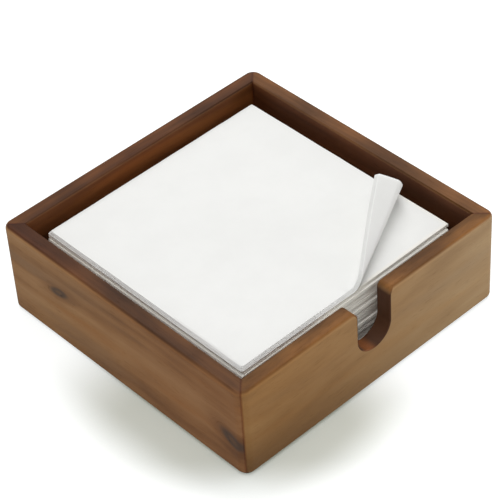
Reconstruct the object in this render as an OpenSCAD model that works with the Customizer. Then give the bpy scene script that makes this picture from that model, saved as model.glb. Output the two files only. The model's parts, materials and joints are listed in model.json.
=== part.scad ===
// Square wooden napkin holder: four mitred walls round a grooved base panel, one wall with a
// finger notch, and a stack of folded napkins whose top one has its corner lifted.
// The origin is on the table under the middle of the tray, +X runs along the notched front
// wall, the front wall faces -Y and +Z is up.

/* [Napkins] */
// Side of a folded napkin
napkin_side = 165; // [120:1:220]
// Thickness of a folded napkin
napkin_t = 2.4; // [1:0.1:3]
// Rounding of a napkin's corners
napkin_r = 0.75; // [0.5:0.25:4]
// Napkins in the stack, under the lifted one
napkin_count = 19; // [1:1:20]
// Room between the napkins and each wall
napkin_play = 8.6; // [5:0.1:12]
// How far the stack lies off the middle of the tray, to the left
stack_left = 0.3; // [0:0.1:3]
// How far the stack lies off the middle of the tray, to the back
stack_back = 0.3; // [0:0.1:3]
// How far a napkin strays from its neighbours
stray = 0.7; // [0:0.1:1.5]
// How far a napkin is turned out of line, in degrees
stray_turn = 0.4; // [0:0.1:0.9]

/* [Lifted corner] */
// Where the fold starts on the front edge, right of the napkin's middle
lift_start = 0.5; // [-10:0.5:10]
// Angle between the front edge and the line where the bend starts
lift_angle = 33.5; // [28:0.5:38]
// Radius of the bend at the front edge
lift_radius = 1.5; // [1:0.25:5]
// How much the bend's radius grows for each unit of length along it
lift_flare = 0.14; // [0.08:0.01:0.2]
// How far the corner is bent round, in degrees
lift_bend = 118; // [100:1:125]
// Share of its height by which the corner is drawn in
lift_pull = 0.11; // [0:0.01:0.2]

/* [Walls] */
// Thickness of a wall
wall_t = 10.5; // [9.5:0.5:14]
// Height of a wall
wall_h = 63.5; // [55:0.5:90]
// Rounding of the four upright corners
corner_r = 6.5; // [4:0.25:8]
// Rounding of the outer top and bottom edges
edge_r = 2.5; // [0.5:0.25:3]
// Rounding of the rim's inner edge
lip_r = 1.2; // [0.5:0.1:2]

/* [Finger notch] */
// Width of the notch
notch_w = 25.4; // [18:0.2:40]
// Depth of the notch below the rim
notch_depth = 34.9; // [28:0.1:42]
// Rounding where the notch meets the rim
notch_r = 4.5; // [1:0.25:6]

/* [Base panel] */
// Thickness of the panel
base_t = 6; // [4:0.5:8]
// Height of the panel above the bottom of the walls
base_recess = 3; // [2:0.5:5]
// Depth of the grooves that hold the panel
groove_depth = 4; // [3:0.5:5]

/* [Corner tongues] */
// Thickness of the loose tongue in a mitre
tongue_t = 3; // [2:0.5:4]
// Width of the tongue, half of it in each wall
tongue_w = 7; // [5:0.5:8]
// Height of the tongue
tongue_h = 36; // [20:1:38]

/* [Felt pads] */
// Diameter of a pad
pad_d = 8; // [5:0.5:9]
// Thickness of a pad
pad_t = 1.5; // [1:0.25:3]

/* [Hidden] */
groove_play = 0.2; // above the panel in its groove
panel_play = 0.5; // between the panel's edge and the bottom of its groove
tongue_play = 0.4; // round the tongue's long and short edges
napkin_gap = 0.3; // under the lifted napkin
past = 1; // how far a cut runs past a surface
lift_steps = 18; // rays of the lifted corner
lift_rings = 14; // points on each ray
stray_x_step = 137;
stray_y_step = 211;
stray_y_phase = 40;
turn_step = 83;
turn_phase = -47;
wood = "#7a5436";
tongue_wood = "#c8a878";
paper = "#f2f2ef";
felt = "#2e2a27";
$fn = 96;

inner_w = napkin_side + 2 * napkin_play;
box_w = inner_w + 2 * wall_t;
rim_z = pad_t + wall_h;
base_z = pad_t + base_recess;
base_top = base_z + base_t;
notch_z = rim_z - notch_depth;
stack_x = -stack_left;
stack_y = stack_back;
lifted_z = base_top + napkin_count * napkin_t + napkin_gap + napkin_t;
corners = [["front_left", -1, -1], ["front_right", 1, -1], ["back_right", 1, 1], ["back_left", -1, 1]];

function napkin_name(i) = str("napkin_", i < 10 ? "0" : "", i);

module rounded_rectangle(w, h, r) {
    square([w - 2 * r, h], center = true);
    square([w, h - 2 * r], center = true);
    for (x = [-1, 1], y = [-1, 1])
        translate([x * (w / 2 - r), y * (h / 2 - r)]) circle(r);
}

// The tray's outline as one solid block, with its upright corners and long edges rounded
module outer_block() {
    span = box_w - 2 * corner_r;
    translate([0, 0, pad_t + wall_h / 2]) {
        for (turn = [0, 90])
            rotate([90, 0, turn]) linear_extrude(span, center = true)
                rounded_rectangle(box_w, wall_h, edge_r);
        for (x = [-1, 1], y = [-1, 1])
            translate([x * span / 2, y * span / 2, 0]) rotate_extrude() intersection() {
                rounded_rectangle(2 * corner_r, wall_h, edge_r);
                translate([0, -wall_h]) square([corner_r + past, 2 * wall_h]);
            }
    }
}

// Everything in front of the two mitre planes
module mitre_wedge() {
    reach = box_w / 2 + past;
    linear_extrude(rim_z + past) polygon([[0, 0], [-reach, -reach], [reach, -reach]]);
}

module lip_cut() {
    edge_y = -inner_w / 2;
    rotate([90, 0, 90]) linear_extrude(box_w, center = true) difference() {
        translate([edge_y - lip_r, rim_z - lip_r]) square(lip_r + past);
        translate([edge_y - lip_r, rim_z - lip_r]) circle(lip_r);
    }
}

// The block that a tongue fills, at one corner, with extra room along its edges
module tongue_block(x, y, play) {
    middle = (box_w - wall_t) / 2;
    translate([x * middle, y * middle, (base_top + rim_z) / 2]) rotate([0, 0, x * y * 45])
        cube([tongue_t, tongue_w + 2 * play, tongue_h + 2 * play], center = true);
}

// One wall, lying along the front
module wall() {
    groove_w = inner_w + 2 * groove_depth;
    difference() {
        intersection() {
            outer_block();
            mitre_wedge();
        }
        translate([-inner_w / 2, -inner_w / 2, 0]) cube([inner_w, inner_w, rim_z + past]);
        translate([-groove_w / 2, -groove_w / 2, base_z])
            cube([groove_w, groove_w, base_t + groove_play]);
        lip_cut();
        for (x = [-1, 1]) tongue_block(x, -1, tongue_play);
    }
}

// The notch's outline: straight sides, a half-round bottom and rounded shoulders at the rim
module notch_outline() {
    half = notch_w / 2;
    translate([0, notch_z + half]) {
        circle(half);
        translate([-half, 0]) square([notch_w, notch_depth]);
    }
    difference() {
        translate([-half - notch_r, rim_z - notch_r]) square([notch_w + 2 * notch_r, notch_r + past]);
        for (x = [-1, 1]) translate([x * (half + notch_r), rim_z - notch_r]) circle(notch_r);
    }
}

module front_wall() {
    color(wood) difference() {
        wall();
        translate([0, -inner_w / 2 + past, 0]) rotate([90, 0, 0]) linear_extrude(wall_t + 2 * past)
            notch_outline();
    }
}

module right_wall() {
    color(wood) rotate([0, 0, 90]) wall();
}

module back_wall() {
    color(wood) rotate([0, 0, 180]) wall();
}

module left_wall() {
    color(wood) rotate([0, 0, 270]) wall();
}

module base_panel() {
    w = inner_w + 2 * groove_depth - 2 * panel_play;
    color(wood) translate([-w / 2, -w / 2, base_z]) cube([w, w, base_t]);
}

module corner_tongue(x, y) {
    color(tongue_wood) tongue_block(x, y, 0);
}

module felt_pad(x, y) {
    middle = box_w / 2 - (wall_t + edge_r) / 2;
    color(felt) translate([x * middle, y * middle, 0]) cylinder(d = pad_d, h = pad_t);
}

// Napkin number i, counted from the base panel
module napkin(i) {
    x = stack_x + stray * sin(stray_x_step * i);
    y = stack_y + stray * sin(stray_y_step * i + stray_y_phase);
    color(paper) translate([x, y, base_top + (i - 1) * napkin_t])
        rotate([0, 0, stray_turn * sin(turn_step * i + turn_phase)])
            linear_extrude(napkin_t) rounded_rectangle(napkin_side, napkin_side, napkin_r);
}

// The lifted napkin is a fan of rays from the point where the fold starts. A ray's angle and
// the distance along it are those of the flat napkin, from the front edge's right half.
right_reach = napkin_side / 2 - lift_start;
left_reach = napkin_side / 2 + lift_start;
ray_angles = concat(
    [for (k = [0:lift_steps]) lift_angle * k / lift_steps],
    [atan2(napkin_side, right_reach), atan2(napkin_side, -left_reach), 180]);
ray_count = len(ray_angles);
corner_height = right_reach * sin(lift_angle);

// Length of a ray, from the fold's start to the napkin's edge
function ray_length(angle) =
    let (side_reach = cos(angle) > 0 ? right_reach / cos(angle) : left_reach / max(-cos(angle), 0.001))
    angle > 0 && angle < 180 ? min(side_reach, napkin_side / sin(angle)) : side_reach;

// Where a point of the flat napkin goes: it stays up to the fold, then follows a bend whose
// radius grows along the fold, then goes straight on. The point lies down below the upper face.
function lifted(angle, distance, down) =
    let (along = distance * cos(lift_angle - angle),
         flat = distance * sin(lift_angle - angle),
         over = flat > 0 ? flat * (1 - lift_pull * flat / corner_height) : 0,
         radius = lift_radius + lift_flare * along,
         turn = min(over / radius * 180 / PI, lift_bend),
         rest = over - radius * turn * PI / 180,
         across = flat > 0 ? (radius + down) * sin(turn) + rest * cos(turn) : flat,
         up = radius - (radius + down) * cos(turn) + rest * sin(turn))
    [along * cos(lift_angle) + across * sin(lift_angle),
     along * sin(lift_angle) - across * cos(lift_angle), up];

module top_napkin() {
    n = lift_rings;
    last = ray_count - 1;
    points = concat([[0, 0, 0], [0, 0, -napkin_t]],
        [for (a = ray_angles, k = [1:n], down = [0, napkin_t]) lifted(a, ray_length(a) * k / n, down)]);
    function upper(ray, k) = k == 0 ? 0 : 2 + 2 * (ray * n + k - 1);
    function lower(ray, k) = k == 0 ? 1 : upper(ray, k) + 1;
    fans = [for (a = [0:last - 1]) let (b = a + 1) each [
        [0, upper(b, 1), upper(a, 1)], [1, lower(a, 1), lower(b, 1)],
        [upper(a, n), upper(b, n), lower(b, n)], [upper(a, n), lower(b, n), lower(a, n)]]];
    rings = [for (a = [0:last - 1], k = [1:n - 1]) let (b = a + 1, m = k + 1) each [
        [upper(a, k), upper(b, k), upper(b, m)], [upper(a, k), upper(b, m), upper(a, m)],
        [lower(a, k), lower(b, m), lower(b, k)], [lower(a, k), lower(a, m), lower(b, m)]]];
    edges = [for (k = [0:n - 1]) let (m = k + 1) each [
        [upper(0, k), upper(0, m), lower(0, m)], [upper(0, k), lower(0, m), lower(0, k)],
        [upper(last, k), lower(last, k), lower(last, m)],
        [upper(last, k), lower(last, m), upper(last, m)]]];
    color(paper) translate([stack_x + lift_start, stack_y - napkin_side / 2, lifted_z])
        polyhedron(points, concat(fans, rings, edges));
}

front_wall();
right_wall();
back_wall();
left_wall();
base_panel();
for (c = corners) {
    corner_tongue(c[1], c[2]);
    felt_pad(c[1], c[2]);
}
for (i = [1:napkin_count])
    napkin(i);
top_napkin();
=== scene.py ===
import json
import math

import bmesh
import bpy
from mathutils import Matrix, Quaternion, Vector, noise


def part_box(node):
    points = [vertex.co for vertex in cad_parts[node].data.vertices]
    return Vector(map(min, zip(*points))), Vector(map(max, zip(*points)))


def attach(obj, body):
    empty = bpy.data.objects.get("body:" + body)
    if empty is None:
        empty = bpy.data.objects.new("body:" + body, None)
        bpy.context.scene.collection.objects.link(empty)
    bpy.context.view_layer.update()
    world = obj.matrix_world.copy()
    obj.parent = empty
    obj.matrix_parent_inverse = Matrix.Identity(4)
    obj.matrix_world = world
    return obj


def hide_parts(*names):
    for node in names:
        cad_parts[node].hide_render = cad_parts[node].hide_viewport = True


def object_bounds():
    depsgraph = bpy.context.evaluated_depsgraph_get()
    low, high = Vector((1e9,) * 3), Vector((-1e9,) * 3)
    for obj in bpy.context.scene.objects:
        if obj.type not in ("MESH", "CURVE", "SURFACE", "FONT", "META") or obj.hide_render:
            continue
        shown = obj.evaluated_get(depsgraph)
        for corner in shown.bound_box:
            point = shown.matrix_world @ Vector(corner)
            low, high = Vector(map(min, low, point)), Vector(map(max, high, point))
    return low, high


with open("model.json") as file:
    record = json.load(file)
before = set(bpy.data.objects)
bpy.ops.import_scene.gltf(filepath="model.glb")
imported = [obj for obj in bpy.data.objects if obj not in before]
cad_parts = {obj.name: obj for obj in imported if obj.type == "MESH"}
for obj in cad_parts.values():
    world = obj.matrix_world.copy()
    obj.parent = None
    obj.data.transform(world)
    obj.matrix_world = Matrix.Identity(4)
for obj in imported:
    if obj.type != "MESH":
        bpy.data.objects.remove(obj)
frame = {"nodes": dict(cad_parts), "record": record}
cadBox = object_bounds()
cadNodes = frame["nodes"]
bodies = frame["record"]["behaviour"]["bodies"]
scene = bpy.context.scene
print("frame loaded:", len(cadNodes), "nodes")

mm = 0.001


# camera: the photograph's own viewpoint, worked out from the tray's outline in it
cameraUser = {
    "place": (-0.61163, -0.70495, 0.87915),
    "aim": (-0.0129, -0.0154, 0.0585),
    "roll": -3.936,  # degrees
    "lens": 154.32,  # mm, on a sensor 36 mm wide
}


def makeCamera(user):
    data = bpy.data.cameras.new("camera")
    data.lens = user["lens"]
    data.sensor_width = 36
    data.clip_start = 0.01
    camera = bpy.data.objects.new("camera", data)
    scene.collection.objects.link(camera)
    camera.location = user["place"]
    look = (Vector(user["aim"]) - Vector(user["place"])).to_track_quat("-Z", "Y")
    camera.rotation_mode = "QUATERNION"
    camera.rotation_quaternion = look @ Quaternion((0, 0, 1), math.radians(user["roll"]))
    scene.camera = camera


makeCamera(cameraUser)


# node helpers
class Wire:
    # a socket that takes part in sums; each sum adds its Math node
    def __init__(self, bench, socket):
        self.bench = bench
        self.socket = socket

    def __add__(self, other):
        return self.bench.maths("ADD", self, other)

    def __radd__(self, other):
        return self.bench.maths("ADD", other, self)

    def __sub__(self, other):
        return self.bench.maths("SUBTRACT", self, other)

    def __rsub__(self, other):
        return self.bench.maths("SUBTRACT", other, self)

    def __mul__(self, other):
        return self.bench.maths("MULTIPLY", self, other)

    def __rmul__(self, other):
        return self.bench.maths("MULTIPLY", other, self)

    def __truediv__(self, other):
        return self.bench.maths("DIVIDE", self, other)

    def __pow__(self, other):
        return self.bench.maths("POWER", self, other)


class Bench:
    # a node tree in the making: a material's, the world's or the napkins'
    def __init__(self, tree):
        self.tree = tree
        tree.nodes.clear()

    def node(self, kind, settings=None, sockets=None, out=0):
        made = self.tree.nodes.new(kind)
        for key, value in (settings or {}).items():
            if key == "stops":
                ramp = made.color_ramp
                while len(ramp.elements) < len(value):
                    ramp.elements.new(0.5)
                for element, (place, colour) in zip(ramp.elements, value):
                    element.position = place
                    element.color = (*colour, 1)
            else:
                setattr(made, key, value)
        for key, value in (sockets or {}).items():
            socket = made.inputs[key]
            if isinstance(value, Wire):
                self.tree.links.new(value.socket, socket)
            elif socket.type == "RGBA" and len(value) == 3:
                socket.default_value = (*value, 1)
            else:
                socket.default_value = value
        return Wire(self, made.outputs[out]) if made.outputs else None

    def maths(self, operation, *values):
        return self.node("ShaderNodeMath", {"operation": operation}, dict(enumerate(values)))

    def across(self, operation, first, second, key=1):
        # the same sum on all three axes of a vector
        return self.node("ShaderNodeVectorMath", {"operation": operation},
                         {0: first, key: second})

    def vector(self, x, y, z):
        return self.node("ShaderNodeCombineXYZ", None, {0: x, 1: y, 2: z})

    def coordinates(self):
        place = self.node("ShaderNodeTexCoord", out=3)  # Object
        split = self.node("ShaderNodeSeparateXYZ", None, {0: place})
        return [Wire(self, socket) for socket in split.socket.node.outputs]

    def noise(self, axes, rates, detail, roughness=0.5, distortion=0.0, shift=(0, 0, 0)):
        # changes along each axis at that axis's rate, per metre
        spots = [axis * rate + away if away else axis * rate
                 for axis, rate, away in zip(axes, rates, shift)]
        return self.node("ShaderNodeTexNoise", {"noise_dimensions": "3D"}, {
            "Vector": self.vector(*spots), "Scale": 1.0, "Detail": detail,
            "Roughness": roughness, "Distortion": distortion})

    def between(self, value, low, high, start=0.0, end=1.0):
        # value taken smoothly from low..high to start..end
        return self.node("ShaderNodeMapRange", {"interpolation_type": "SMOOTHSTEP"}, {
            0: value, 1: low, 2: high, 3: start, 4: end})

    def mix(self, factor, first, second, blend="MIX"):
        return self.node("ShaderNodeMix", {"data_type": "RGBA", "blend_type": blend},
                         {0: factor, 6: first, 7: second}, 2)

    def shade(self, mask, colour, shade):
        # the colour times the shade, where the mask is
        return self.mix(mask, colour, self.mix(1.0, colour, shade, "MULTIPLY"))

    def attribute(self, name):
        return self.node("ShaderNodeAttribute", {"attribute_name": name}, out=2)

    def bump(self, height, strength, distance):
        return self.node("ShaderNodeBump", None, {
            "Height": height, "Strength": strength, "Distance": distance})

    def coat(self, **values):
        names = {"colour": "Base Color", "roughness": "Roughness", "normal": "Normal",
                 "sheen": "Sheen Weight", "sheenRoughness": "Sheen Roughness",
                 "specular": "Specular IOR Level"}
        return self.node("ShaderNodeBsdfPrincipled", None,
                         {names[key]: value for key, value in values.items()})

    def finish(self, surface):
        self.node("ShaderNodeOutputMaterial", None, {"Surface": surface})


def newMaterial(name):
    material = bpy.data.materials.new(name)
    material.use_nodes = True
    return material, Bench(material.node_tree)


# stained wood: soft bands and streaks run along each board, with fine fibre and pores
woodUser = {
    "dark": (0.125, 0.048, 0.016),
    "middle": (0.300, 0.146, 0.057),
    "pale": (0.410, 0.228, 0.104),
    "cool": (0.250, 0.142, 0.074),
    "warm": (0.340, 0.142, 0.040),
    "pore": (0.030, 0.014, 0.008),
    "roughness": 0.58,
    # how fast each pattern changes along a board, into it and up it, per metre
    "sway": (5, 5, 9),
    "bands": (3.5, 45, 62),
    "streaks": (9, 190, 230),
    "clouds": (24, 30, 60),
    "hue": (7, 40, 55),
    "fibre": (45, 900, 900),
    "pores": (130, 1900, 1900),
    # how much each of them does
    "swayUp": 22 * mm,
    "swayIn": 10 * mm,
    "bandShare": 1.2,
    "streakShare": 0.40,
    "cloudShare": 0.55,
    "hueShare": 0.55,
    "fibreShare": 0.13,
    "poreShare": 0.18,
    # shades, each with the two places between which it comes in: the front wall's foot and the
    # inner faces take painted shade, and the notch's cut takes a painted pool of light low on
    # its left
    "foot": (52 * mm, 6 * mm),  # heights between which the front wall's foot darkens towards the floor, painted contact shade
    "rim": (1.4 * mm, 0.15 * mm),  # below the top
    "rimIn": 0.82,  # how bright the rim is at its inner and outer edge
    "rimOut": 1.18,
    "inside": (1.0 * mm, 0.2 * mm),  # into the wall from its inner face; the inner faces take painted shade of the tray's inside, over a darker stain
    "cutHigh": (0.20, 0.13, 0.12),  # the notch's cut face: a darker end-grain stain, and low on its left a lighter, more orange painted pool of light, its right side dark with painted shade
    "cutLitLow": (0.62, 0.36, 0.24),
    "cutTurn": (35 * mm, 30.5 * mm),  # heights
    "cutLitSide": (3 * mm, -3 * mm),  # right and left of the middle
    "seam": (0.74, 0.58, 0.50),
    "seamReach": (1.6 * mm, 0.2 * mm),  # away from the mitre
}
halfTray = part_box("front_wall")[1][0]
halfInside = -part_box("front_wall")[1][1]  # from the middle to a wall's inner face


def makeWood(name, look, rimTop=None):
    # look["along"] is 0 for a board lying on X and 1 for one lying on Y
    user = woodUser
    material, bench = newMaterial(name)
    place = bench.coordinates()
    along, contrast, run = look["along"], look["contrast"], look.get("run", 1.0)
    across, height = place[1 - along], place[2]
    length = place[along] + look["shift"]
    swell, knot, halo = 0.0, 0.0, 0.0
    for spot in look.get("knots", ()):
        dl = (place[along] - spot["along"]) / spot["long"]
        dh = height - spot["height"] - (place[along] - spot["along"]) * spot["slant"]
        dh = dh / spot["high"]
        distance = (dl * dl + dh * dh) ** 0.5
        sign = bench.between(dh, -1.5, 1.5, -1.0, 1.0)
        swell = bench.between(distance, 0.3, 4.0, 1.0, 0.0) * sign * spot["swell"] + swell
        ring = bench.between(distance, 0.15, 0.75) * bench.between(distance, 0.8, 1.5, 1.0, 0.0)
        core = bench.between(distance, 0.0, 1.2, 0.6, 0.0)
        knot = (ring * 0.65 + core) * spot["depth"] + knot
        halo = bench.between(distance, 0.8, 3.6, 1.0, 0.0) * spot["halo"] + halo
    sway = bench.noise((length, across, height), user["sway"], 1.0, shift=(0, 3.1, 0)) - 0.5
    level = height + sway * user["swayUp"] - swell
    depth = across + sway * user["swayIn"]
    grain = (length, depth, level)
    longer = (length * (1 / run), depth, level)
    bands = bench.noise(longer, user["bands"], 2.0)
    streaks = bench.noise(longer, user["streaks"], 3.0, 0.6)
    clouds = bench.noise((length, across, level), user["clouds"], 2.0, shift=(0, 7.0, 0))
    hue = bench.noise(grain, user["hue"], 2.0, shift=(11.0, 0, 0))
    fibre = bench.noise(grain, user["fibre"], 4.0, 0.65)
    pores = bench.between(bench.noise(grain, user["pores"], 1.0), 0.62, 0.74)
    tone = (bands - 0.5) * (user["bandShare"] * contrast)
    tone = tone + (streaks - 0.5) * (user["streakShare"] * contrast)
    tone = tone + (clouds - 0.5) * (user["cloudShare"] * contrast)
    tone = tone + (fibre - 0.5) * user["fibreShare"] + 0.5 - halo * 0.25
    colour = bench.node("ShaderNodeValToRGB", {"stops": [
        (0.06, user["dark"]), (0.50, user["middle"]), (0.95, user["pale"])]}, {0: tone})
    hueShare = user["hueShare"] * contrast
    colour = bench.mix(bench.between(hue, 0.52, 0.74) * hueShare, colour, user["cool"])
    colour = bench.mix(bench.between(hue, 0.46, 0.28) * hueShare, colour, user["warm"])
    colour = bench.mix(pores * user["poreShare"], colour, user["pore"])
    # along each board the colour runs from its near to its far end. On the front and left walls
    # this is painted light: darker by the front corner and lighter towards the far ends, where
    # the floor is bright. On the front wall it is also a painted reflection that makes its right
    # end paler and greyer. On the back and right walls and the base panel it only shifts the
    # tone a little along the board
    far = bench.between(place[along], -halfTray, halfTray)
    lightAndTone = bench.mix(far, look["nearLightAndTone"], look["farLightAndTone"])
    colour = bench.mix(1.0, colour, lightAndTone, "MULTIPLY")
    # painted shade: the front wall darkens towards the floor by its near corner
    if "paintedFootShade" in look:
        foot = bench.between(height, *user["foot"]) * (1 - far)
        colour = bench.shade(foot, colour, look["paintedFootShade"])
    if "knots" in look:
        colour = bench.mix(halo * 0.5, colour, look["haloColour"])
        colour = bench.mix(knot, colour, look["knotColour"])
    if rimTop:
        side = bench.maths("ABSOLUTE", across)
        top = bench.between(height, *(rimTop - reach for reach in user["rim"]))
        top = bench.maths("MAXIMUM", top, bench.attribute("shoulder"))
        # the inner faces are darker: painted shade of the tray's deep inside, over a darker
        # stain
        inside = bench.between(side, *(halfInside + reach for reach in user["inside"]))
        inside = inside * (1 - top)
        outward = bench.between(side, halfInside, halfTray, user["rimIn"], user["rimOut"])
        outward = outward * bench.between(clouds, 0.32, 0.68, 0.78, 1.28)
        outward = outward * bench.between(streaks, 0.35, 0.65, 0.86, 1.15)
        rim = bench.mix(far, look["rimNear"], look["rimFar"])
        rim = bench.mix(1.0, rim, bench.vector(outward, outward, outward), "MULTIPLY")
        # streaky patches in the inner faces' painted shade
        patchy = bench.between(bands, 0.35, 0.65, 0.68, 1.36)
        inner = bench.vector(patchy, patchy, patchy)
        inner = bench.mix(1.0, look["inner"], inner, "MULTIPLY")
        # painted light: the cut face is lighter and more orange low on its left, and stays dark
        # on its right, painted shade
        lowest = bench.between(height, *user["cutTurn"])
        lowest = lowest * bench.between(place[along], *user["cutLitSide"])
        cut = bench.mix(lowest, user["cutHigh"], user["cutLitLow"])
        off = bench.maths("ABSOLUTE", side - bench.maths("ABSOLUTE", place[along]))
        seam = bench.between(off, *user["seamReach"])
        for mask, shade in ((inside, inner), (top, rim), (bench.attribute("cut"), cut),
                            (seam, user["seam"])):
            colour = bench.shade(mask, colour, shade)
    relief = (fibre - 0.5) * 0.5 - pores * 0.9
    rough = (fibre - 0.5) * 0.10 + pores * 0.15 + user["roughness"]
    bench.finish(bench.coat(colour=colour, roughness=rough, specular=0.22,
                            normal=bench.bump(relief, 0.20, 0.16 * mm)))
    return material


# paper: soft pulp with faint clouds, short fibres and a fine pressed dimple; the stacked
# napkins' edges are painted lighter and warmer, painted light for the glow through the paper and
# the wood's warm bounce
paperUser = {
    "colour": (0.870, 0.872, 0.852),
    "shadow": (0.850, 0.852, 0.832),
    "fibre": (0.885, 0.885, 0.870),
    # painted light: the colour of the stacked napkins' edges, lighter and warmer than the paper
    "edge": (0.930, 0.905, 0.830),
    "clouds": (55, 55, 55),  # per metre
    "fibres": (900, 900, 900),
    "dimples": 900,
}


def makePaper(name):
    user = paperUser
    material, bench = newMaterial(name)
    axes = bench.coordinates()
    clouds = bench.noise(axes, user["clouds"], 3.0, 0.6)
    fibres = bench.noise(axes, user["fibres"], 5.0, 0.7, 1.5)
    dimple = bench.node("ShaderNodeTexVoronoi", {"feature": "F1"}, {
        "Vector": bench.vector(*axes), "Scale": user["dimples"]})
    colour = bench.mix(bench.between(clouds, 0.3, 0.75), user["colour"], user["shadow"])
    colour = bench.mix(bench.between(fibres, 0.55, 0.8) * 0.35, colour, user["fibre"])
    # painted light: edges lighter and warmer, for the glow through the paper and the wood's warm
    # bounce
    colour = bench.mix(bench.attribute("edge"), colour, user["edge"])
    relief = bench.bump(fibres * 0.6 + dimple * 0.5, 0.25, 0.1 * mm)
    bench.finish(bench.coat(colour=colour, roughness=0.9, specular=0.2, normal=relief,
                            sheen=0.15, sheenRoughness=0.6))
    return material


feltUser = {
    "dark": (0.012, 0.010, 0.009),
    "pale": (0.060, 0.052, 0.046),
    "hairs": (1400, 1400, 900),  # per metre
}


def makeFelt(name):
    user = feltUser
    material, bench = newMaterial(name)
    hairs = bench.noise(bench.coordinates(), user["hairs"], 5.0, 0.75, 2.0)
    bench.finish(bench.coat(colour=bench.mix(hairs, user["dark"], user["pale"]), roughness=0.95,
                            specular=0.1, normal=bench.bump(hairs, 0.6, 0.3 * mm),
                            sheen=0.5, sheenRoughness=0.5))
    return material


tongueUser = {
    "dark": (0.40, 0.25, 0.13),
    "pale": (0.62, 0.44, 0.26),
    "streaks": (700, 700, 30),  # per metre
}


def makePlainWood(name):
    user = tongueUser
    material, bench = newMaterial(name)
    streaks = bench.noise(bench.coordinates(), user["streaks"], 4.0, 0.6)
    bench.finish(bench.coat(colour=bench.mix(streaks, user["dark"], user["pale"]), roughness=0.6,
                            normal=bench.bump(streaks, 0.2, 0.2 * mm)))
    return material


# walls: the solids' own shape, with a fine seam at each mitre and a softened notch
wallUser = {
    "seam": 0.12 * mm,
    "notchEase": 0.75 * mm,
    "shoulder": 4.4 * mm,  # height of the notch's rounded shoulders
    "notchReach": (18 * mm, 28 * mm),  # half width and lowest point of what counts as the notch
    "mitreArea": 4e-4,  # square metres; every face on a mitre is larger
    "flatTurn": 0.4,  # degrees; triangles that turn by less are one flat face
    "edgeTurn": 28,  # faces that turn by more meet in an edge
    "sharpTurn": 35,  # and by more than this stay sharp when smoothed
}
wallLooks = {
    # the front wall's near and far colours hold painted light: floor bounce, and a paler, greyer
    # painted reflection towards its right end
    "front_wall": {
        "piece": "frontWall", "along": 0, "shift": 0.31, "contrast": 0.45, "run": 0.25,
        "nearLightAndTone": (1.15, 1.18, 0.96), "farLightAndTone": (1.28, 1.66, 2.10),
        # the foot's colour is painted contact shade
        "paintedFootShade": (0.60, 0.58, 0.56), "rimNear": (0.43, 0.335, 0.20),
        "rimFar": (0.45, 0.29, 0.14), "inner": (0.36, 0.24, 0.19)},
    # the left wall's near and far colours hold painted light: darker by the front corner,
    # lighter by the far corner where the floor is bright
    "left_wall": {
        "piece": "leftWall", "along": 1, "shift": 0.87, "contrast": 1.0,
        "nearLightAndTone": (0.90, 0.82, 0.76), "farLightAndTone": (1.10, 1.13, 1.12),
        "rimNear": (0.46, 0.42, 0.36), "rimFar": (0.18, 0.095, 0.050),
        "inner": (0.36, 0.24, 0.19),
        "haloColour": (0.150, 0.064, 0.028), "knotColour": (0.052, 0.040, 0.034),
        "knots": [
            {"along": 52.5 * mm, "height": 42 * mm, "long": 6.8 * mm, "high": 2.8 * mm,
             "slant": -0.18, "depth": 0.85, "halo": 0.35, "swell": 3.5 * mm},
            {"along": -92.5 * mm, "height": 25 * mm, "long": 7.8 * mm, "high": 4.3 * mm,
             "slant": 0.35, "depth": 0.85, "halo": 0.85, "swell": 6.0 * mm}]},
    "back_wall": {
        "piece": "backWall", "along": 0, "shift": 1.43, "contrast": 0.9,
        "nearLightAndTone": (0.92, 0.86, 0.80), "farLightAndTone": (0.96, 0.90, 0.84),
        "rimNear": (0.33, 0.235, 0.15), "rimFar": (0.30, 0.22, 0.17),
        "inner": (0.47, 0.32, 0.19)},
    "right_wall": {
        "piece": "rightWall", "along": 1, "shift": 2.09, "contrast": 0.8,
        "nearLightAndTone": (1.02, 0.98, 0.94), "farLightAndTone": (0.92, 0.86, 0.82),
        "rimNear": (0.54, 0.47, 0.37), "rimFar": (0.49, 0.42, 0.33),
        "inner": (0.37, 0.25, 0.21)},
}


def isMitre(face):
    n = face.normal
    upright = abs(abs(n.x) - abs(n.y)) < 0.01 and abs(n.z) < 0.01
    return upright and face.calc_area() > wallUser["mitreArea"]


def plainCopy(piece):
    # the evaluated piece as a plain mesh, its modifiers gone
    graph = bpy.context.evaluated_depsgraph_get()
    mesh = bpy.data.meshes.new_from_object(piece.evaluated_get(graph))
    piece.modifiers.clear()
    piece.data = mesh
    return piece


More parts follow.
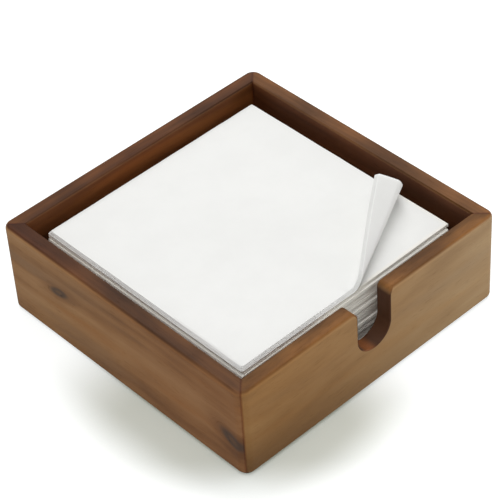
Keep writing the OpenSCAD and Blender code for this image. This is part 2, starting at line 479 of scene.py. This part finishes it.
def makeWall(nodeName, look):
    user = wallUser
    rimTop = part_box(nodeName)[1][2]
    mesh = cadNodes[nodeName].data.copy()
    mesh.name = look["piece"]
    form = bmesh.new()
    form.from_mesh(mesh)
    cut = form.faces.layers.float.new("cut")
    shoulder = form.faces.layers.float.new("shoulder")
    bmesh.ops.remove_doubles(form, verts=form.verts, dist=1e-6)
    bmesh.ops.dissolve_limit(form, angle_limit=math.radians(user["flatTurn"]),
                             verts=form.verts, edges=form.edges)
    form.normal_update()

    def inNotch(face):
        c = face.calc_center_median()
        level = face.normal.z > 0.999 and c.z > rimTop - 0.1 * mm
        halfWidth, lowest = user["notchReach"]
        return (nodeName == "front_wall" and abs(c.x) < halfWidth and c.z > lowest
                and not level and abs(face.normal.y) < 0.98)

    mitres = {f for f in form.faces if isMitre(f)}
    notch = {f for f in form.faces if inNotch(f)}
    seamEdges, notchEdges = [], []
    for e in form.edges:
        if len(e.link_faces) != 2 or e.calc_face_angle(0) < math.radians(user["edgeTurn"]):
            continue
        pair = set(e.link_faces)
        if pair & mitres:
            seamEdges.append(e)
        elif pair & notch:
            notchEdges.append(e)
    for edges, width, steps in ((notchEdges, user["notchEase"], 3),
                                (seamEdges, user["seam"], 1)):
        edges = [e for e in edges if e.is_valid]
        if edges:
            bmesh.ops.bevel(form, geom=edges, offset=width, offset_type="OFFSET",
                            segments=steps, profile=0.5, affect="EDGES", clamp_overlap=True)
    bmesh.ops.recalc_face_normals(form, faces=form.faces)
    for f in form.faces:
        f.smooth = True
        if inNotch(f):
            rounded = rimTop - f.calc_center_median().z < user["shoulder"] and f.normal.z > 0
            f[cut] = 1 - min(1, f.normal.z / 0.7) if rounded else 1.0
            f[shoulder] = 1 - f[cut]
    form.to_mesh(mesh)
    form.free()
    wall = bpy.data.objects.new(look["piece"], mesh)
    scene.collection.objects.link(wall)
    mesh.materials.clear()
    mesh.materials.append(makeWood(look["piece"] + "Wood", look, rimTop))
    mesh.set_sharp_from_angle(angle=math.radians(user["sharpTurn"]))
    firm = wall.modifiers.new("normals", "WEIGHTED_NORMAL")
    firm.keep_sharp = True
    plainCopy(wall)
    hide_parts(nodeName)
    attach(wall, "tray")


for nodeName, look in wallLooks.items():
    makeWall(nodeName, look)
print("walls made")


# base panel, tongues and pads keep their own solids
panelLook = {"along": 0, "shift": 3.3, "contrast": 1.0, "nearLightAndTone": (0.9, 0.84, 0.8),
             "farLightAndTone": (0.86, 0.8, 0.76)}


def dressNode(nodeName, material):
    for slot in cadNodes[nodeName].material_slots:
        slot.material = material


dressNode("base_panel", makeWood("basePanelWood", panelLook))
plainWood = makePlainWood("tongueWood")
felt = makeFelt("padFelt")
for nodeName in bodies["tray"]:
    if nodeName.startswith("corner_tongue"):
        dressNode(nodeName, plainWood)
    if nodeName.startswith("felt_pad"):
        dressNode(nodeName, felt)
print("panel, tongues and pads dressed")


# folded napkins: each is four leaves with soft, slightly ragged edges
napkinUser = {
    "leaves": 4,
    "leafGap": 0.03 * mm,
    "sidePoints": 48,
    "rim": 3.0 * mm,  # the strip along the edge that may stray
    "cornerRadius": 0.75 * mm,
    "halfRagged": 1.0 * mm,  # how far in from the edge it strays half as much
    "ragged": 0.40 * mm,
    "calm": 3,  # how many napkins at the top of the stack have straighter edges
    "calmShare": 0.35,
    "waves": (70.0, 70.0, 2600.0),  # how fast an edge strays along X, Y and Z, per metre
    "lean": (2.0, 2.0, 0.25),  # how much of that goes along X, Y and Z
    "round": 0.0003,  # how fast the leaves shrink away from the one that sticks out most
    "seeds": (1.3, 3.7),  # the lowest napkin's, and what each next one adds
}
paper = makePaper("napkinPaper")


def roundedOutline(side, radius, points):
    half = side / 2 - radius
    outline = []
    for turn in range(4):
        angle = turn * math.pi / 2
        spin = Matrix.Rotation(angle, 2)
        for k in range(points):
            outline.append(spin @ Vector((side / 2, -half + 2 * half * k / points)))
        for k in range(4):
            bend = k * math.pi / 8
            x, y = half + radius * math.cos(bend), half + radius * math.sin(bend)
            outline.append(spin @ Vector((x, y)))
    return outline


def leafMesh(name, side, thick, user):
    # one leaf, closed: two flat faces, a narrow strip that may stray, and a round edge
    rows = [(-user["rim"], thick / 2, 0.0), (-user["halfRagged"], thick / 2, 0.5)]
    for k in range(5):
        bend = math.pi / 2 - k * math.pi / 4
        rows.append((thick / 2 * (math.cos(bend) - 1), thick / 2 * math.sin(bend), 1.0))
    rows += [(-user["halfRagged"], -thick / 2, 0.5), (-user["rim"], -thick / 2, 0.0)]
    form = bmesh.new()
    edge = form.verts.layers.float.new("edge")
    rings = []
    for inset, z, stray in rows:
        ring = []
        radius = max(user["cornerRadius"] + inset, 0.2 * mm)
        for p in roundedOutline(side + 2 * inset, radius, user["sidePoints"]):
            vert = form.verts.new((p.x, p.y, z + thick / 2))
            vert[edge] = stray
            ring.append(vert)
        rings.append(ring)
    count = len(rings[0])
    for upper, lower in zip(rings, rings[1:]):
        for k in range(count):
            after = (k + 1) % count
            form.faces.new((upper[k], lower[k], lower[after], upper[after]))
    form.faces.new(rings[0])
    form.faces.new(reversed(rings[-1]))
    bmesh.ops.recalc_face_normals(form, faces=form.faces)
    for f in form.faces:
        f.smooth = len(f.verts) == 4
    mesh = bpy.data.meshes.new(name)
    form.to_mesh(mesh)
    form.free()
    return mesh


def makeNapkinTree():
    # repeats the leaf, lets its edges stray and lays the napkin in its place
    tree = bpy.data.node_groups.new("foldedNapkin", "GeometryNodeTree")
    bench = Bench(tree)
    keys = {}
    for kind, names in (("Geometry", ("Geometry",)), ("Int", ("Leaves",)),
                        ("Float", ("Pitch", "Ragged", "Round", "Seed")),
                        ("Vector", ("Waves", "Lean", "Place", "Turn")),
                        ("Material", ("Material",))):
        for name in names:
            socket = tree.interface.new_socket(name=name, in_out="INPUT",
                                               socket_type="NodeSocket" + kind)
            keys[name] = socket.identifier
    tree.interface.new_socket(name="Geometry", in_out="OUTPUT",
                              socket_type="NodeSocketGeometry")
    inputs = bench.node("NodeGroupInput").socket.node.outputs
    given = {name: Wire(bench, inputs[name]) for name in keys}

    line = bench.node("GeometryNodeMeshLine", {"mode": "OFFSET", "count_mode": "TOTAL"}, {
        "Count": given["Leaves"], "Offset": bench.vector(0, 0, given["Pitch"])})
    away = bench.node("GeometryNodeInputIndex") - 1
    width = 1 - away * away * given["Round"]
    leaves = bench.node("GeometryNodeInstanceOnPoints", None, {
        "Points": line, "Instance": given["Geometry"], "Scale": bench.vector(width, width, 1)})
    real = bench.node("GeometryNodeRealizeInstances", None, {0: leaves})
    spot = bench.across("MULTIPLY", bench.node("GeometryNodeInputPosition"), given["Waves"])
    cloud = bench.node("ShaderNodeTexNoise", {"noise_dimensions": "4D"}, {
        "Vector": spot, "W": given["Seed"], "Scale": 1.0, "Detail": 2.0}, 1)
    stray = bench.across("SUBTRACT", cloud, (0.5, 0.5, 0.5))
    stray = bench.across("MULTIPLY", stray, given["Lean"])
    edge = bench.node("GeometryNodeInputNamedAttribute", {"data_type": "FLOAT"}, {0: "edge"})
    stray = bench.across("SCALE", stray, edge * given["Ragged"], "Scale")
    ruffled = bench.node("GeometryNodeSetPosition", None, {"Geometry": real, "Offset": stray})
    laid = bench.node("GeometryNodeTransform", None, {
        "Geometry": ruffled, "Translation": given["Place"], "Rotation": given["Turn"]})
    solid = bench.node("GeometryNodeRealizeInstances", None, {0: laid})
    dyed = bench.node("GeometryNodeSetMaterial", None, {
        "Geometry": solid, "Material": given["Material"]})
    bench.node("NodeGroupOutput", None, {0: dyed})
    return tree, keys


def cadTurn(nodeName):
    # how far a napkin is turned, from the largest face of its solid that looks forward
    front = [f for f in cadNodes[nodeName].data.polygons if f.normal.y < -0.99]
    normal = max(front, key=lambda f: f.area).normal
    return math.atan2(normal.x, -normal.y)


def makeStack(user):
    tree, keys = makeNapkinTree()
    for number, nodeName in enumerate(bodies["napkin_stack"]):
        low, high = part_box(nodeName)
        turn = cadTurn(nodeName)
        spread = high[0] - low[0]
        radius = user["cornerRadius"]
        side = (spread - 2 * radius) / (math.cos(turn) + abs(math.sin(turn))) + 2 * radius
        pitch = (high[2] - low[2]) / user["leaves"]
        leaf = leafMesh("leaf", side, pitch - user["leafGap"], user)
        napkin = bpy.data.objects.new("foldedNapkin%02d" % (number + 1), leaf)
        scene.collection.objects.link(napkin)
        change = napkin.modifiers.new("napkin", "NODES")
        change.node_group = tree
        upper = len(bodies["napkin_stack"]) - number <= user["calm"]
        values = {
            "Leaves": user["leaves"],
            "Pitch": pitch,
            "Ragged": user["ragged"] * (user["calmShare"] if upper else 1.0),
            "Round": user["round"],
            "Seed": user["seeds"][1] * number + user["seeds"][0],
            "Waves": user["waves"],
            "Lean": user["lean"],
            "Place": ((low[0] + high[0]) / 2, (low[1] + high[1]) / 2, low[2]),
            "Turn": (0.0, 0.0, turn),
            "Material": paper,
        }
        for name, value in values.items():
            change[keys[name]] = value
        plainCopy(napkin)
        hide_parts(nodeName)
        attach(napkin, "napkin_stack")
        2 * side
        2 * side


makeStack(napkinUser)
print("stack made")


# top napkin: rays run from the point where the fold starts; past the fold they follow a
# bend whose radius grows along it, then go straight on
topUser = {
    "foldStart": 0.5 * mm,  # right of the napkin's middle, on its front edge
    "foldAngle": 33.5,  # degrees
    "radius": 1.5 * mm,
    "flare": 0.14,
    "bend": 118,  # degrees
    "pull": 0.11,  # share of its height by which the corner is drawn in
    "side": 165 * mm,
    "thick": 2.4 * mm,
    "rays": 150,
    "foldRays": 60,  # more of them, in the lifted part
    "cornerTurn": 0.0022,  # radians between the rays on either side of a corner
    "rings": 42,
    "step": 0.42 * mm,  # how much each leaf sticks out past the one above it
    "slip": 0.45,  # share of the way round the bend by which the outer leaves fall behind
    "ripple": 0.18 * mm,
    "edgeWaves": 70,  # how fast the edge and the flat part ripple, per metre
    "flatWaves": 18,
}


def rayReach(angle, start, half):
    # from the fold's start to the rounded edge of a leaf with this half side
    radius = napkinUser["cornerRadius"]
    near, far = 0.0, 4 * half
    for _ in range(40):
        middle = (near + far) / 2
        x = abs(start + middle * math.cos(angle)) - (half - radius)
        y = abs(-half + middle * math.sin(angle)) - (half - radius)
        outside = math.hypot(max(x, 0), max(y, 0)) + min(max(x, y), 0) - radius
        if outside > 0:
            far = middle
        else:
            near = middle
    return near


def lifted(place, depth, user):
    # where a point of the flat napkin goes, depth below its upper face
    fold = math.radians(user["foldAngle"])
    along = place.x * math.cos(fold) + place.y * math.sin(fold)
    flat = place.x * math.sin(fold) - place.y * math.cos(fold)
    across, up = flat, -depth
    if flat > 0:
        height = (user["side"] / 2 - user["foldStart"]) * math.sin(fold)
        over = flat * (1 - user["pull"] * flat / height)
        radius = user["radius"] + user["flare"] * along
        turn = min(over / radius, math.radians(user["bend"]))
        rest = over - radius * turn - user["slip"] * turn * depth
        across = (radius + depth) * math.sin(turn) + rest * math.cos(turn)
        up = radius - (radius + depth) * math.cos(turn) + rest * math.sin(turn)
    return Vector((along * math.cos(fold) + across * math.sin(fold),
                   along * math.sin(fold) - across * math.cos(fold), up))


def rayAngles(half, start, user):
    # evenly, closer in the lifted part and closest at the four corners
    rays, foldRays, step = user["rays"], user["foldRays"], user["cornerTurn"]
    angles = [math.pi * k / rays for k in range(rays + 1)]
    angles += [math.radians(user["foldAngle"]) * k / foldRays for k in range(foldRays)]
    backRight, backLeft = (math.atan2(2 * half, x - start) for x in (half, -half))
    for corner in (0.0, backRight, backLeft, math.pi):
        angles += [min(math.pi, abs(corner + k * step)) for k in range(-4, 5)]
    return sorted({round(a, 5) for a in angles})


def makeTopNapkin(user):
    low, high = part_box("top_napkin")
    side, ripple = user["side"], user["ripple"]
    edgeWaves, flatWaves = user["edgeWaves"], user["flatWaves"]
    leaves = napkinUser["leaves"]
    pitch = user["thick"] / leaves
    thick = pitch - napkinUser["leafGap"]
    start = user["foldStart"]
    origin = Vector((low[0] + side / 2 + start, high[1] - side, low[2] + user["thick"]))
    form = bmesh.new()
    for leaf in range(leaves):
        top = leaf * pitch
        inset = (leaves - 1 - leaf) * user["step"] + thick / 2
        half = side / 2 - inset
        rows = []
        for angle in rayAngles(half, start, user):
            reach = rayReach(min(max(angle, 1e-4), math.pi - 1e-4), start, half)
            ray = Vector((math.cos(angle), math.sin(angle)))
            upper, lower = [], []
            for ring in range(1, user["rings"] + 1):
                share = (ring / user["rings"]) ** 0.9  # closer together towards the edge
                flat = ray * share * reach
                edge, broad = flat * edgeWaves, flat * flatWaves
                stray = noise.noise(Vector((edge.x, edge.y, leaf * 3.1))) * ripple
                swell = noise.noise(Vector((broad.x, broad.y, 4.2))) * ripple
                swell = (swell - abs(swell)) * 0.3 * min(1.0, share * 3)
                place = flat + ray * stray * max(0.0, share * 8 - 7) + Vector((0, inset))
                upper.append(lifted(place, top - swell, user))
                lower.append(lifted(place, top + thick - swell, user))
            rows.append((upper, lower))
        addLeaf(form, rows, inset, top, thick)
    bmesh.ops.recalc_face_normals(form, faces=form.faces)
    for v in form.verts:
        v.co += origin
    for f in form.faces:
        f.smooth = True
    mesh = bpy.data.meshes.new("topNapkin")
    form.to_mesh(mesh)
    form.free()
    mesh.materials.append(paper)
    mesh.set_sharp_from_angle(angle=math.radians(50))
    napkin = bpy.data.objects.new("topNapkin", mesh)
    scene.collection.objects.link(napkin)
    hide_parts("top_napkin")
    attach(napkin, "top_napkin")


def addFace(form, *verts):
    # a corner that is given twice counts once
    form.faces.new(list(dict.fromkeys(verts)))


def addLeaf(form, rows, inset, top, thick):
    # a closed fan: the start point above and below, then every ray's rings
    upperStart = form.verts.new((0, inset, -top))
    lowerStart = form.verts.new((0, inset, -top - thick))
    grid = []
    for upper, lower in rows:
        edge = (upper[-1] + lower[-1]) / 2
        out = (upper[-1] - upper[-2]).normalized()
        line = [upperStart] + [form.verts.new(p) for p in upper]
        line.append(form.verts.new(edge + out * thick * 0.5))
        line += [form.verts.new(p) for p in reversed(lower)] + [lowerStart]
        grid.append(line)
    for first, second in zip(grid, grid[1:]):
        for k in range(len(first) - 1):
            addFace(form, first[k], second[k], second[k + 1], first[k + 1])
    # the front edge, which the first and the last ray run along, gets its ridge as well
    ridgeStart = form.verts.new((0, inset - thick / 2, -top - thick / 2))
    for first, second in ((grid[0], grid[1]), (grid[-1], grid[-2])):
        last = len(first) // 2
        ridge = [ridgeStart]
        for k in range(1, last):
            run = (first[k + 1].co - first[k - 1].co).normalized()
            away = first[k].co - second[k].co
            away = (away - run * away.dot(run)).normalized()
            ridge.append(form.verts.new((first[k].co + first[-1 - k].co) / 2 + away * thick / 2))
        ridge.append(first[last])
        for k in range(last):
            addFace(form, first[k], first[k + 1], ridge[k + 1], ridge[k])
            addFace(form, first[-1 - k], first[-2 - k], ridge[k + 1], ridge[k])


makeTopNapkin(topUser)
print("top napkin made")


# studio: pale floor, white surround and soft lamps
studioUser = {
    "floorHalf": 8,  # metres
    "floor": (0.62, 0.63, 0.61),
    # the floor glows for the camera alone: little where the painted shadow lies by the tray, and
    # enough beyond it for bare floor to be white; the glow's outline paints the shadow's shape
    "paintedShadowGlow": (0.13, 0.145, 0.11),
    "bareGlow": (0.62, 0.64, 0.65),
    # how far the painted shadow reaches: from the front left corner, in an ellipse, from the
    # left and the front wall, and ahead of the corner
    "cornerReach": (78 * mm, 146 * mm),
    "cornerForm": (1.14, 0.92),
    "wallReach": (12 * mm, 54 * mm),
    "aheadReach": (-26 * mm, 38 * mm),
    "surround": 0.55,
    "lamps": [
        {"name": "overhead", "place": (0.60, 0.60, 1.30), "size": 0.80, "power": 7.0},
        {"name": "softFront", "place": (-0.44, -0.36, 1.08), "size": 0.70, "power": 3.9},
        {"name": "rightSide", "place": (0.45, -0.38, 0.12), "size": 0.25, "power": 0.7},
    ],
}


def makeFloor(user):
    mesh = bpy.data.meshes.new("floor")
    half = user["floorHalf"]
    corners = [(-half, -half, 0), (half, -half, 0), (half, half, 0), (-half, half, 0)]
    mesh.from_pydata(corners, [], [(0, 1, 2, 3)])
    floor = bpy.data.objects.new("floor", mesh)
    scene.collection.objects.link(floor)
    material, bench = newMaterial("floorPaper")
    plain = bench.coat(colour=user["floor"], roughness=1.0, specular=0.0)
    x, y = bench.coordinates()[:2]
    x, y = cadBox[0][0] - x, cadBox[0][1] - y
    oblong = [axis * form for axis, form in zip((x, y), user["cornerForm"])]
    distance = (oblong[0] * oblong[0] + oblong[1] * oblong[1]) ** 0.5
    corner = bench.between(distance, *user["cornerReach"])
    wall = bench.between(bench.maths("MAXIMUM", x, y), *user["wallReach"])
    ahead = bench.between(x + y, *user["aheadReach"])
    # painted shadow: the glow gives way to the bare floor's white outside this outline
    away = 1 - (1 - corner) * (1 - wall) * (1 - ahead)
    glow = bench.node("ShaderNodeEmission", None, {
        0: bench.mix(away, user["paintedShadowGlow"], user["bareGlow"])})
    lit = bench.node("ShaderNodeAddShader", None, {0: plain, 1: glow})
    seen = bench.node("ShaderNodeLightPath")  # Is Camera Ray
    bench.finish(bench.node("ShaderNodeMixShader", None, {0: seen, 1: plain, 2: lit}))
    mesh.materials.append(material)


def makeSurround(user):
    world = bpy.data.worlds.new("surround")
    world.use_nodes = True
    scene.world = world
    bench = Bench(world.node_tree)
    seen = bench.node("ShaderNodeLightPath")  # Is Camera Ray
    strength = bench.maths("MAXIMUM", seen, user["surround"])
    light = bench.node("ShaderNodeBackground", None, {"Color": (1, 1, 1), "Strength": strength})
    bench.node("ShaderNodeOutputWorld", None, {"Surface": light})


def makeLamps(user):
    for lamp in user["lamps"]:
        data = bpy.data.lights.new(lamp["name"], "AREA")
        data.shape = "DISK"
        data.size = lamp["size"]
        data.energy = lamp["power"]
        holder = bpy.data.objects.new(lamp["name"], data)
        scene.collection.objects.link(holder)
        holder.location = lamp["place"]
        holder.rotation_euler = (-Vector(lamp["place"])).to_track_quat("-Z", "Y").to_euler()


makeFloor(studioUser)
makeSurround(studioUser)
makeLamps(studioUser)
scene.view_settings.view_transform = "Standard"
print("studio made")
